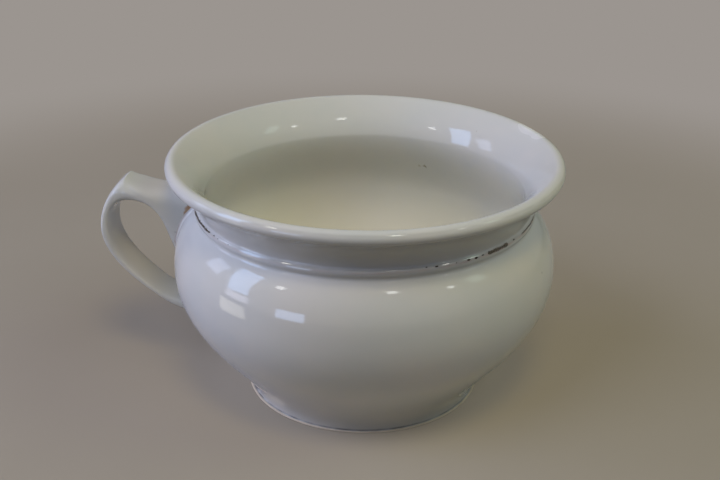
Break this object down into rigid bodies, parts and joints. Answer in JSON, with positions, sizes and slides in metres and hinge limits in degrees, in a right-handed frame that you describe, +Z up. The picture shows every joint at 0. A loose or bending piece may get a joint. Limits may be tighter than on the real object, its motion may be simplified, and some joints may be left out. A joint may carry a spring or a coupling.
{
  "type": "chamber pot",
  "caption": "Round-bellied white glazed chamber pot with a flared rolled rim, a moulded bead under the neck and a strap handle with a thumb spur.",
  "frame": {"origin": "centre of the foot ring, on the plane it stands on", "axes": "+Z up along the axis of the pot, the handle points to -X"},
  "size_m": [0.274, 0.23, 0.145],
  "materials": {
    "glazed_body": "clear gloss glaze on white earthenware",
    "slip": "joint slip, stained",
    "gilding": "worn and darkened fired gold"
  },
  "bodies": {
    "root": {"bowl": "glazed_body", "handle": "glazed_body", "upper_slip": "slip", "lower_slip": "slip", "gilt_left": "gilding", "gilt_dash": "gilding", "gilt_side": "gilding"}
  },
  "joints": []
}
